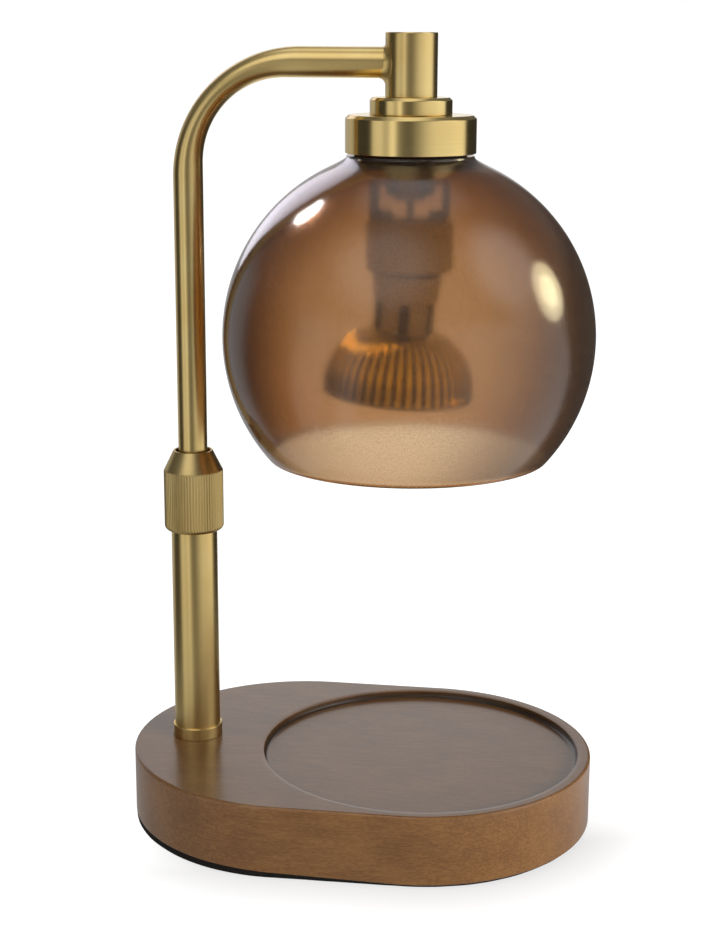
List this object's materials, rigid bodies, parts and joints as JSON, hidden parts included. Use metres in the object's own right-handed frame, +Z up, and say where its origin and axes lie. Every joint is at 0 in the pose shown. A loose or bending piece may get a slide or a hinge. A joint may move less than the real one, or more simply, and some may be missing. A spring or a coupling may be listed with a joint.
{
  "type": "candle warmer lamp",
  "caption": "Candle warmer lamp: wooden base with a round jar seat, telescopic brass pole with a knurled lock nut, bent arm and a smoked glass globe over a reflector lamp.",
  "frame": {"origin": "middle of the base on the surface that it stands on", "axes": "+Z up; +X from the pole towards the candle seat; +Y towards the back, where the cord hole is"},
  "size_m": [0.161, 0.1244, 0.2701],
  "materials": {
    "wood": "stained and satin-lacquered hardwood",
    "foam_pad": "closed-cell foam sheet",
    "satin_brass": "satin-brushed, clear-lacquered brass",
    "zinc_steel": "zinc-plated steel",
    "nylon": "moulded black nylon",
    "black_rubber": "moulded rubber",
    "smoked_glass": "amber-brown tinted blown glass, sprayed with a fine pearl frost",
    "white_ceramic": "unglazed steatite ceramic",
    "contact_metal": "spring bronze",
    "reflector_glass": "pressed glass with a dichroic mirror coat",
    "clear_glass": "clear glass",
    "sleeving": "silicone-sleeved wire"
  },
  "bodies": {
    "base": {"wood_base": "wood", "base_pad": "foam_pad", "ballast_plate": "zinc_steel", "ballast_screws": "zinc_steel", "cord_bushing": "nylon", "pole_washer": "zinc_steel", "pole_nut": "zinc_steel", "foot_nipple": "zinc_steel", "pole_plug": "satin_brass", "pole_ferrule": "satin_brass", "pole_tube": "satin_brass"},
    "nut": {"lock_nut": "satin_brass"},
    "swivel": {"collet": "nylon"},
    "arm": {"arm_tube": "satin_brass", "guide_bush": "nylon", "head_cup": "satin_brass", "neck_disc": "satin_brass", "shade_cap": "satin_brass", "shade_gasket": "black_rubber", "shade_seal": "black_rubber", "shade_washer": "zinc_steel", "shade_nut": "zinc_steel", "bracket_nut": "zinc_steel", "head_nipple": "zinc_steel", "glass_shade": "smoked_glass", "holder_bracket": "zinc_steel", "bracket_screws": "zinc_steel", "lamp_holder": "white_ceramic", "holder_contacts": "contact_metal", "lamp_wires": "sleeving", "lamp_lead": "sleeving"},
    "bulb": {"bulb_base": "white_ceramic", "bulb_pins": "contact_metal", "bulb_reflector": "reflector_glass", "bulb_lens": "clear_glass", "bulb_capsule": "clear_glass"}
  },
  "joints": [
    {"name": "lock_nut_turn", "type": "hinge", "parent": "base", "child": "nut", "pos_m": [-0.0595, 0, 0.115], "axis": [0, 0, 1], "range_deg": [0, 180]},
    {"name": "arm_swivel", "type": "hinge", "parent": "base", "child": "swivel", "pos_m": [-0.0595, 0, 0.115], "axis": [0, 0, 1], "range_deg": [-90, 90]},
    {"name": "height_slide", "type": "slide", "parent": "swivel", "child": "arm", "axis": [0, 0, 1], "range_m": [-0.036, 0.022]},
    {"name": "bulb_twist", "type": "hinge", "parent": "arm", "child": "bulb", "pos_m": [0.0153, 0, 0.193], "axis": [0, 0, -1], "range_deg": [0, 25]}
  ]
}
